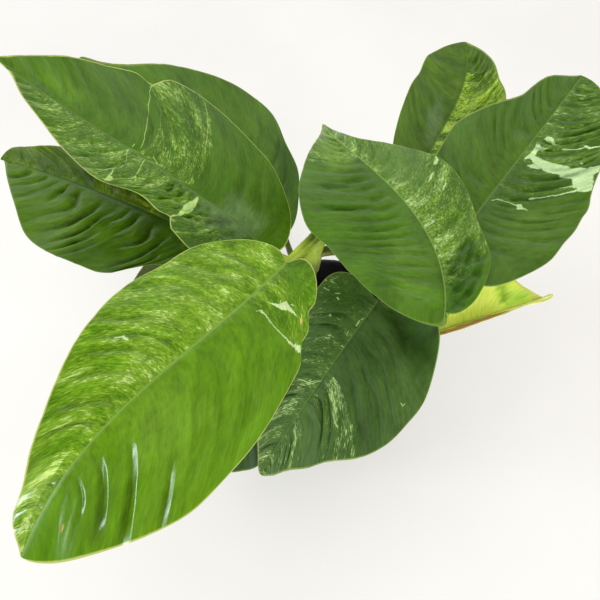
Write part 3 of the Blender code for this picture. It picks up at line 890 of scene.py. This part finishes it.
LOOKS = {
    "leaf_01_front": dict(
        seed=1, plain=(92, 135, 9), dark=(81, 124, 4), smoky=(70, 107, 12), middle=(111, 148, 28),
        pale=(130, 164, 54), cream=(180, 204, 118), cream_from=0.59, rib_colour=(134, 168, 62),
        edge=(185, 191, 102), rib=(1.0, 0.5), mark=(194, 214, 152), mark_shade=(176, 202, 128),
        rough_low=0.16, rough=0.05, bump=0.15, valley_bend=0.045, fleck=(1.0, 0.34),
        veins=dict(sweep=(0.3, 0.17)), fine=0.025, fine_bump=0.02, shade=0.9, rows=340,
        pleats=((12, 0.14), (14, 1.2)),
        marbled=((1, 0, 1, 0, 1, 0.75), (-1, 0, (0.157, 0.04), 0, 1, 0.6, 0.8),
            (1, (0.7, 0.775), 1, 0.3, 1, 1.2)),
        shapes=(((111, -160), (84, -284), (91, -300)),
            ((85, -276), (77, -288), (65, -324), (63, -372), (62, -432), (86, -340), (94, -280)),
            ((64, -376), (50, -572), (71, -392)), ((75, -672), (50, -816), (49, -892), (64, -768)),
            ((143, -152), (133, -180), (131, -252), (136, -216))),
        lines=(((132, -236, 0.5), (127, -308, 0.4), (116, -404, 0.26), (102, -500, 0.32), (85, -608, 0.45),
            (70, -708, 0.75)), ((148, -144, 0.39), (143, -160, 0.312)),
            ((83, -276, 0.312), (78, -264, 0.39)), ((58, -396, 0.39), (52, -432, 0.273)),
            ((385, 700, 0.39), (380, 652, 0.702), (390, 580, 0.468)),
            ((393, 708, 0.234), (389, 668, 0.312)), ((372, 652, 0.234), (382, 656, 0.39))),
        spots=(((214, 178, 80), (36, -755, 1.3), (36, -765, 1.3)),
            ((229, 162, 128), (36, -755, 0.7), (36, -765, 0.7)),
            ((216, 160, 70), (819, -675, 0.6), (819, -670, 0.6))),
        valleys=((-1, 0.662, 3.6, 9.6, 0.2, 0.84), (-1, 0.56, 3.6, 9.6, 0.3, 0.97),
            (-1, 0.42, 2.5, 7.0, 0.6, 0.99), (-1, 0.735, 1.9, 5.5, 0.15, 0.62),
            (-1, 0.36, 1.1, 5.0, 0.1, 0.8), (-1, 0.28, 1.1, 5.0, 0.1, 0.8), (-1, 0.2, 1.0, 5.0, 0.1, 0.85),
            (-1, 0.47, 0.8, 5.0, 0.08, 0.6)),
        tints=(((70, 112, 4), 0.14, 10, ((555, 996), (536, 728), (572, 272), (653, 168), (683, 744))),
            ((170, 198, 100), 0.22, 6, ((828, 928), (721, 888), (780, 248), (855, 80), (939, 124))),
            ((156, 188, 82), 0.1, 14, ((248, 720), (73, 816), (10, 892), (43, 128), (259, 144),
            (313, 424))), ((78, 124, 8), 0.5, 6, ((2, -4), (1, -916), (7, -968), (14, -892), (50, -276))),
            ((84, 127, 14), 0.55, 8, ((821, -368), (673, -580), (518, -896), (603, -976), (780, -932))),
            ((112, 152, 34), 0.5, 10, ((589, -84), (441, -80), (353, -544), (393, -732), (549, -604))),
            ((78, 122, 0), 0.45, 8, ((198, -200), (151, -276), (62, -868), (84, -908), (218, -432))))),
    "leaf_02_upper_left": dict(
        seed=2, plain=(72, 111, 14), dark=(63, 100, 12), smoky=(57, 91, 19), middle=(89, 124, 26),
        pale=(124, 156, 70), cream=(164, 192, 104), cream_from=0.59, mark=(170, 200, 116),
        mark_shade=(138, 172, 84), rib_colour=(102, 131, 57), edge=(176, 185, 102), rib=(1.0, 0.4),
        rough_low=0.26, edge_width=0.35, fleck=(1.15, 0.52), veins=dict(sweep=(0.12, 0.24)), wander=1.3,
        pleats=((14, 1.0), (13, 1.3)),
        marbled=((1, (0.28, 0.22), (0.47, 0.37), 0, 1, 0.8, 0.7),
            (-1, (0.42, 0.298), (0.93, 0.96), 0, 1, 0.77), (-1, 0, (0.42, 0.298), 0, 1, 0.6)),
        shapes=(((161, -1000), (228, -512), (243, -300), (245, -16)),
            ((371, -952), (406, -780), (387, -788), (369, -892))),
        lines=(((469, 104, 0.175), (471, 308, 0.225), (460, 500, 0.175), (440, 684, 0.15), (403, 856, 0.15),
            (348, 988, 0.2)), ((226, 952, 0.15), (237, 824, 0.175), (250, 700, 0.175), (270, 512, 0.15)),
            ((493, 52, 0.175), (493, 100, 0.35)), ((541, -840, 0.4), (535, -728, 0.175)),
            ((544, -500, 0.3), (543, -352, 0.15)), ((488, -916, 0.35), (497, -780, 0.3)),
            ((433, -852, 0.125), (429, -772, 0.25), (438, -668, 0.3), (442, -612, 0.4), (444, -500, 0.2),
            (460, -340, 0.25), (478, -216, 0.175), (499, -56, 0.3)),
            ((386, -820, 0.3), (387, -712, 0.15), (387, -536, 0.25), (393, -464, 0.35)),
            ((391, -472, 0.25), (367, -596, 0.125)), ((401, -784, 0.3), (448, -572, 0.15)),
            ((400, -420, 0.25), (423, -224, 0.2), (434, -112, 0.3), (437, -16, 0.15), (422, 84, 0.25)),
            ((162, -996, 0.25), (160, -972, 0.25))),
        rugose=((-1, 0.0, 0.34, 1.6, 10.0), (-1, 0.3, 0.6, 0.7, 9.0)),
        tints=(((96, 126, 66), 0.85, 7, ((223, 0), (165, 244), (37, 320), (81, -144), (151, -496))),
            ((92, 133, 20), 0.6, 9, ((922, 748), (791, 888), (679, 488), (715, 192), (877, 148))),
            ((48, 78, 16), 0.6, 3, ((157, -460), (161, -92), (121, -4), (118, -288))),
            ((48, 78, 16), 0.6, 3, ((99, -4), (76, -4), (43, -4), (67, -48))))),
    "leaf_03_back_left": dict(
        seed=3, plain=(82, 121, 22), dark=(66, 102, 14), smoky=(56, 89, 17), middle=(81, 115, 25),
        pale=(102, 139, 56), cream=(166, 190, 111), rib_colour=(96, 130, 65), edge=(130, 148, 61),
        rib=(1.1, 0.4), rough_low=0.28, pleats=((12, 0.9), (12, 1.1)), specular=0.3,
        tints=(((50, 82, 8), 0.65, 6, ((184, 716), (93, 1000), (50, 1000), (51, 504), (98, 348))),)),
    "leaf_04_left": dict(
        seed=4, plain=(80, 117, 18), dark=(58, 94, 8), smoky=(46, 76, 8), middle=(86, 116, 26),
        pale=(112, 138, 22), cream=(146, 168, 48), rib_colour=(56, 85, 22), edge=(111, 133, 56),
        rib=(0.8, 0.4), rough_low=0.14, drift=0.1, pleats=((16, 1.9), (13, 0.9)),
        veins=dict(sweep=(0.19, 0.24)), rough=0.16, painted_fold_shade=0.14, specular=0.5,
        marbled=((1, 0.2, 1, 0, 1, 0.8),),
        shapes=(((433, 188), (407, 232), (373, 156), (387, 88)),),
        tints=(((44, 76, 0), 0.6, 5, ((969, 1000), (651, 940), (510, 192), (754, 68), (966, 416))),
            ((114, 130, 40), 0.8, 2.5, ((534, 268), (437, 204), (373, 180), (381, 140), (508, 92))),
            ((70, 104, 4), 0.6, 6, ((434, -320), (324, -84), (262, -156), (247, -520), (273, -736))))),
    "leaf_05_centre": dict(
        seed=5, plain=(76, 117, 12), dark=(62, 101, 8), smoky=(61, 94, 17), middle=(98, 132, 36),
        pale=(120, 154, 70), cream=(168, 196, 116), cream_from=0.595, mark=(182, 206, 140),
        mark_shade=(150, 184, 104), rib_colour=(134, 166, 78), edge=(126, 150, 64), rib=(0.3, 0.7),
        rib_share=0.7, edge_share=0.5, edge_width=0.3, pleat_fade=(0.35, 0.85, 0.75), rough_low=0.26,
        specular=0.3, drift=0.1, grain=(0.62, 0.34), fleck=(0.95, 0.6), pleats=((22, 1.3), (16, 0.8)),
        veins=dict(sweep=(0.16, 0.11)),
        marbled=((1, (0.06, 0.107), (0.9, 0.947), 0, 1, 0.72), (1, 0.15, 0.78, 0, 0.4, 0.92),
            (1, (0.62, 0.757), 1, 0, 1, 0.8), (-1, (0.66, 0.62), 1, 0, 1, 0.8)),
        shapes=(((400, 992), (387, 968), (390, 896), (404, 840), (403, 920)),
            ((401, 716), (397, 748), (397, 600), (402, 524), (405, 620))),
        lines=(((499, 132, 0.3), (491, 36, 0.2)), ((342, 732, 0.5), (344, 624, 0.6)),
            ((295, 176, 1), (292, 92, 0.3)), ((407, 44, 0.4), (406, 8, 0.2))),
        valleys=((-1, 0.522, 2.2, 4.5, 0.46, 0.808), (-1, 0.423, 2.2, 4.5, 0.356, 0.836)),
        rugose=((1, 0.0, 0.17, 1.2, 11.0),),
        tints=(((104, 144, 26), 0.45, 4, ((630, -996), (731, -1000), (940, -760), (730, -196), (625, -196),
            (593, -684), (587, -944))),
            # The next two tints are painted shade in the blade's two deep valleys.
            ((46, 86, 6), 0.7, 1.5, ((529, -828), (546, -720), (534, -476), (515, -516), (512, -732))),
            ((46, 86, 6), 0.7, 1.5, ((439, -848), (449, -740), (429, -436), (428, -332), (408, -448),
            (413, -720))), ((58, 96, 22), 0.4, 5, ((390, -576), (417, -376), (19, -936), (23, -1000))),
            ((48, 88, 0), 0.3, 6, ((468, -888), (498, -272), (272, -504), (116, -972))),
            ((120, 160, 64), 0.2, 8, ((300, -392), (223, -116), (16, -168), (14, -800), (135, -596))),
            ((44, 80, 10), 0.75, 4, ((153, 112), (186, 624), (99, 848), (27, 796), (2, 700))),
            ((80, 116, 34), 0.75, 5, ((652, 608), (540, 1000), (443, 1000), (409, 332), (515, -16))))),
    "leaf_06_top": dict(
        seed=6, plain=(72, 104, 14), dark=(61, 92, 11), smoky=(52, 84, 6), middle=(112, 148, 20),
        pale=(152, 182, 56), cream=(178, 194, 102), rib_colour=(89, 120, 46), edge=(130, 152, 61),
        rib=(0.9, 0.4), rough_low=0.3, specular=0.3, pleats=((12, 0.5), (12, 0.5)),
        marbled=((1, 0.0, (0.84, 0.72), 0, 1, 0.85),),
        rugose=((1, 0.05, 0.95, 1.0, 8.0),),
        tints=(((104, 130, 82), 0.5, 4, ((483, -460), (601, -352), (526, -88), (359, 12), (369, -200))),)),
    "leaf_07_right": dict(
        seed=7, plain=(70, 105, 19), dark=(61, 96, 17), smoky=(61, 92, 21), middle=(85, 118, 29),
        pale=(110, 142, 66), cream=(168, 196, 124), cream_from=0.595, mark=(188, 216, 154),
        mark_shade=(158, 190, 128), rib_colour=(104, 133, 59), edge=(130, 148, 74), rib=(1.0, 0.5),
        rough_low=0.28, wander=2.2, fleck=(1.05, 0.34), pleats=((14, 1.0), (23, 1.35)),
        marbled=((1, 0.42, 1, 0, 1, 0.7), (1, (0.26, 0.3), 0.42, 0, 1, 0.4)),
        shapes=(((582, 84), (584, 148), (567, 204), (539, 168), (551, 108)),
            ((576, 164), (575, 300), (561, 196)), ((490, 72), (554, 108), (542, 172), (514, 188)),
            ((505, 132), (524, 172), (504, 348), (475, 568), (399, 640), (435, 468), (455, 352),
            (485, 224)), ((463, 168), (481, 236), (456, 364), (456, 224)),
            ((479, 540), (431, 764), (402, 900), (325, 968), (372, 744), (404, 616)),
            ((387, 716), (358, 948), (277, 1000), (278, 940), (294, 848), (337, 800)),
            ((410, 876), (396, 1000), (359, 1000), (350, 940)),
            ((616, 152), (631, 160), (636, 256), (620, 280), (614, 240)),
            ((261, 336), (264, 376), (242, 436), (237, 364)),
            ((335, 748), (331, 820), (307, 840), (321, 796))),
        lines=(((621, 260, 0.8), (604, 344, 0.45), (595, 464, 0.25)),
            ((561, 740, 0.5), (538, 816, 0.7), (530, 916, 0.4), (527, 972, 0.3)),
            ((337, 648, 0.35), (332, 760, 0.6)), ((296, 448, 0.8), (297, 496, 0.5)),
            ((297, 496, 0.35), (299, 648, 0.3), (297, 772, 0.45), (297, 856, 0.9)),
            ((457, 772, 0.35), (451, 804, 0.35)), ((245, 420, 0.5), (237, 464, 0.25)),
            ((265, 96, 0.25), (265, 212, 0.15), (257, 344, 0.3)), ((252, 52, 0.25), (267, 108, 0.25)),
            ((569, 492, 0.3), (551, 672, 0.4), (551, 744, 0.3))),
        tints=(((98, 138, 44), 0.3, 12, ((89, 248), (253, 328), (272, 740), (188, 984), (55, 956),
            (12, 844))),)),
    "leaf_08_lower_front": dict(
        seed=8, plain=(80, 110, 50), dark=(60, 89, 36), smoky=(50, 76, 26), middle=(68, 98, 36),
        pale=(96, 126, 58), cream=(176, 202, 128), cream_from=0.585, rib_colour=(104, 136, 62),
        edge=(139, 159, 78), rib=(0.7, 0.4), rib_share=0.5, fine=0.07, painted_fold_shade=0.17, rough_low=0.36,
        specular=0.14, grain=(1.3, 0.3), fleck=(1.7, 0.36), pleats=((15, 1.5), (12, 1.0)),
        marbled=((1, 0, 1, 0, 1, 0.68), (1, 0.45, 1, 0.2, 1, 0.9), (-1, 0.58, 1, 0, 1, 0.85),
            (-1, (0.36, 0.3), (0.5, 0.42), 0.03, 1, 0.75), (-1, (0.33, 0.28), (0.41, 0.36), 0.12, 1, 0.95)),
        lines=(((407, 444, 0.248), (424, 232, 0.31), (386, -12, 0.186)),
            ((437, 356, 0.31), (423, 140, 0.279), (391, 0, 0.217)), ((449, 384, 0.744), (452, 336, 0.558)),
            ((114, 516, 0.558), (120, 480, 0.31)), ((52, 588, 0.496), (57, 544, 0.372)),
            ((41, 664, 0.372), (39, 604, 0.248)), ((33, 912, 0.248), (38, 796, 0.186)),
            ((98, 52, 0.434), (123, 48, 0.217)), ((156, 104, 0.217), (173, 76, 0.186)),
            ((91, 36, 0.31), (81, 20, 0.186)), ((376, -532, 0.248), (369, -616, 0.217), (352, -700, 0.248)),
            ((98, -820, 0.217), (96, -848, 0.186), (88, -856, 0.217))),
        # These three tints are painted shadow: the front leaf and the centre leaf shade the blade near its
        # base.
        tints=(((40, 72, 0), 0.4, 6, ((42, 888), (11, 792), (2, 448), (105, 176), (145, 464))),
            ((44, 78, 0), 0.8, 8, ((6, -4), (3, -536), (10, -976), (22, -1000), (37, -480))),
            ((28, 54, 0), 0.6, 8, ((18, -56), (6, -556), (8, -1000), (22, -940), (48, -512))))),
    # The old leaf's colours are partly its own pale yellow and partly painted light, made brighter to stand
    # for light passing through it.
    "leaf_09_old_right": dict(
        seed=9, plain=(236, 254, 132), dark=(220, 250, 108), smoky=(208, 246, 92), middle=(240, 255, 152),
        pale=(205, 213, 120), cream=(215, 218, 148), rib_colour=(200, 205, 120), edge=(198, 202, 120),
        rib=(1.0, 0.5), rough_low=0.39, pleats=((9, 0.5), (9, 0.5)), under_share=0.0, shade=0.4, mottle=0.5,
        subsurface=0.8,
        marbled=((-1, 0, 1, 0, 1, 0.15),),
        tints=(
            ((120, 178, 44), 0.85, 5, ((598, -824), (637, -1000), (726, -1000), (965, -1000), (707, -392))),
            ((112, 152, 6), 0.8, 1.8, ((580, -760), (605, -840), (689, -444), (655, -428))),
            ((244, 246, 164), 0.9, 1.0, ((20, 20), (20, 1400), (500, 1400), (970, 1400), (970, 20))),
            ((180, 128, 104), 0.95, 1.0, ((20, 450), (20, 1500), (620, 1500), (580, 300))))),
    "leaf_10_low_front": dict(
        seed=10, plain=(46, 78, 13), dark=(37, 67, 9), smoky=(46, 74, 17), middle=(57, 89, 19),
        pale=(92, 126, 56), cream=(166, 190, 111), rib_colour=(83, 111, 56), edge=(111, 139, 65),
        rib=(1.0, 0.4), rough_low=0.32),
    "leaf_11_old_left": dict(
        seed=11, plain=(102, 113, 22), dark=(85, 96, 16), smoky=(89, 96, 22), middle=(118, 124, 31),
        pale=(139, 144, 74), cream=(176, 176, 111), rib_colour=(139, 139, 78), edge=(157, 155, 89),
        rib=(1.0, 0.4), rough_low=0.39),
}

PLAIN_STALK = dict(radii=(STALK_FOOT_RADIUS, STALK_NECK_RADIUS), shift=(0, 0, 0), channel=0.30)
STALKS = {
    "leaf_01_front": dict(radii=(5.0, 3.8), shift=(3.5, -3.0, -1.0), channel=0.45),
    "leaf_02_upper_left": dict(radii=(4.0, 2.8)),
    "leaf_05_centre": dict(radii=(4.2, 2.8)),
    "leaf_08_lower_front": dict(radii=(3.8, 2.4)),
}


# The plant


def dress(thing, material, node):
    thing.data.materials.append(material)
    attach(thing, "root")
    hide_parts(node)


young_stalk = stem_material("stalk_skin_green", (118, 144, 30), (162, 184, 62), (78, 104, 16))
# The front leaf's stalk skin is a darker copy of the green stalk skin: painted shade from the leaves over it.
shaded_front_stalk = stem_material("stalk_skin_front_painted_shade", (106, 132, 20), (162, 184, 56), (50, 74, 4))
old_stalk = stem_material("stalk_skin_old", (100, 108, 46), (134, 132, 74), (66, 64, 30))
stem_skin = stem_material("stem_skin_green", (138, 160, 46), (184, 198, 86), (92, 108, 34))
stalk_skins = {"leaf_01_front": shaded_front_stalk}
for leaf_name in ("leaf_03_back_left", "leaf_04_left", "leaf_08_lower_front", "leaf_09_old_right",
                  "leaf_10_low_front", "leaf_11_old_left"):
    stalk_skins[leaf_name] = old_stalk

for leaf_name, leaf_sizes in LEAVES.items():
    leaf_look = {**PLAIN_LOOK, **LOOKS[leaf_name]}
    for mark_tone in ("mark", "mark_shade"):
        leaf_look.setdefault(mark_tone, leaf_look["cream"])
    leaf, leaf_blade = leaf_object(leaf_name + "_blade", leaf_sizes, leaf_look)
    dress(leaf, leaf_material(leaf_name + "_skin", leaf_blade, leaf_look), leaf_name)
    stalk_name = leaf_name.replace("leaf", "stalk")
    stalk_shape = {**PLAIN_STALK, **STALKS.get(leaf_name, {})}
    stalk = stalk_object(stalk_name + "_skin", leaf_blade, leaf_sizes, **stalk_shape)
    dress(stalk, stalk_skins.get(leaf_name, young_stalk), stalk_name)

dress(stem_object("stem_skin"), stem_skin, "stem")
dress(soil_object("soil_bed"), soil_material(), "soil")
for material_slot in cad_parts["pot"].material_slots:
    material_slot.material = pot_material()


# Floor, light and camera

floor_mesh = bpy.data.meshes.new("floor")
floor_mesh.from_pydata([(-4, -4, 0), (4, -4, 0), (4, 4, 0), (-4, 4, 0)], [], [(0, 1, 2, 3)])
floor_mesh.materials.append(floor_material())
floor = add_object("floor", floor_mesh)

WARM_WHITE = (1.0, 0.99, 0.97)


def soft_light(name, place, target, size, power, colour=WARM_WHITE, hidden=("visible_glossy",)):
    light = bpy.data.lights.new(name, "AREA")
    light.shape = "RECTANGLE"
    light.size, light.size_y = size
    light.energy = power
    light.color = colour
    lamp = add_object(name, light)
    lamp.location = place
    reach = np.array(target) - np.array(place)
    across = math.hypot(reach[0], reach[1])
    lamp.rotation_euler = (math.atan2(across, -reach[2]), 0.0, math.atan2(reach[1], reach[0]) - math.pi / 2)
    for kind_of_ray in hidden:
        setattr(lamp, kind_of_ray, False)


soft_light("window", (-2.1, -0.38, 0.92), (-0.05, -0.05, 0.25), (0.5, 0.5), 17.0, (0.82, 0.95, 1.0), ())
soft_light("overhead", (-0.4, 0, 2.3), (0, 0, 0.2), (2.0, 2.0), 22.0)
soft_light("front", (1.3, -1.6, 1.5), (0, 0, 0.2), (1.4, 1.4), 13.0)
soft_light("back_wall", (0, 3.0, 3.0), (0, 0, 3.0), (8.0, 6.0), 130.0, (1.0, 1.0, 0.99), ("visible_camera",))
soft_light("low_front", (0.45, -1.9, 0.55), (0.05, 0, 0.2), (1.4, 0.8), 18.0)

# The room is white to the camera, dim in reflections and middling in what it lights.
world = bpy.data.worlds.new("room")
world.use_nodes = True
background = world.node_tree.nodes["Background"]
background.inputs["Color"].default_value = (0.90, 0.90, 0.89, 1.0)
ray = world.node_tree.nodes.new("ShaderNodeLightPath")
brightness = world.node_tree.nodes.new("ShaderNodeMapRange")
brightness.inputs["To Min"].default_value = 0.40
brightness.inputs["To Max"].default_value = 0.17
paler = world.node_tree.nodes.new("ShaderNodeMath")
paler.operation = "MAXIMUM"
for output, socket in ((ray.outputs["Is Glossy Ray"], brightness.inputs["Value"]),
                       (brightness.outputs["Result"], paler.inputs[0]),
                       (ray.outputs["Is Camera Ray"], paler.inputs[1]),
                       (paler.outputs[0], background.inputs["Strength"])):
    world.node_tree.links.new(output, socket)
bpy.context.scene.world = world
bpy.context.scene.view_settings.view_transform = "Standard"

# The photograph's camera: a focal length of 630 of its 600 pixels, tilted down, over the pot's front edge.
PHOTO_WIDTH = 600
PHOTO_FOCAL_LENGTH = 630
CAMERA_TILT_DOWN = 62.07
camera = bpy.data.cameras.new("camera")
camera.sensor_width = 36.0
camera.lens = PHOTO_FOCAL_LENGTH / PHOTO_WIDTH * camera.sensor_width
viewer = add_object("camera", camera)
viewer.location = (-0.0236, -0.2472, 0.660)
viewer.rotation_euler = (math.radians(90 - CAMERA_TILT_DOWN), 0.0, 0.0)
bpy.context.scene.camera = viewer
